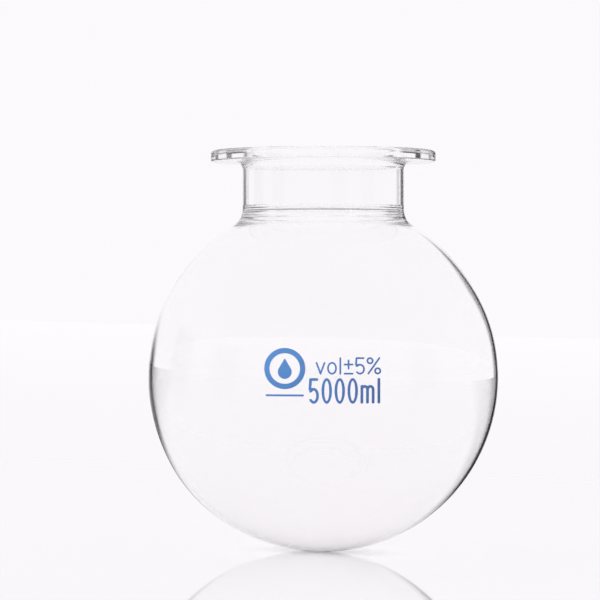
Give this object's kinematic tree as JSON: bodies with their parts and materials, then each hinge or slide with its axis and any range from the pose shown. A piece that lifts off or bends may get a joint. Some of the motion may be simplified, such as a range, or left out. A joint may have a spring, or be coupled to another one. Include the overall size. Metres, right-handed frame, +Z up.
{
  "type": "round bottom reaction flask",
  "caption": "Clear glass round bottom reaction flask with a short wide neck, a flat ground flange at its mouth and a fired-on capacity print.",
  "frame": {"origin": "lowest point of the globe, on the axis of the neck", "axes": "+Z up the axis of the globe and neck, out of the mouth; -Y the side that carries the print; +X to the right of the print as it is read"},
  "size_m": [0.223, 0.2231, 0.255],
  "materials": {
    "glass": "clear polished borosilicate",
    "enamel": "blue fired enamel"
  },
  "bodies": {
    "root": {"globe": "glass", "shoulder_ring": "glass", "neck_tube": "glass", "flange_root": "glass", "flange_plate": "glass", "print_emblem_band": "enamel", "print_emblem_drop": "enamel", "print_rule": "enamel", "print_capacity_digits": "enamel", "print_capacity_unit": "enamel", "print_tolerance": "enamel"}
  },
  "joints": []
}
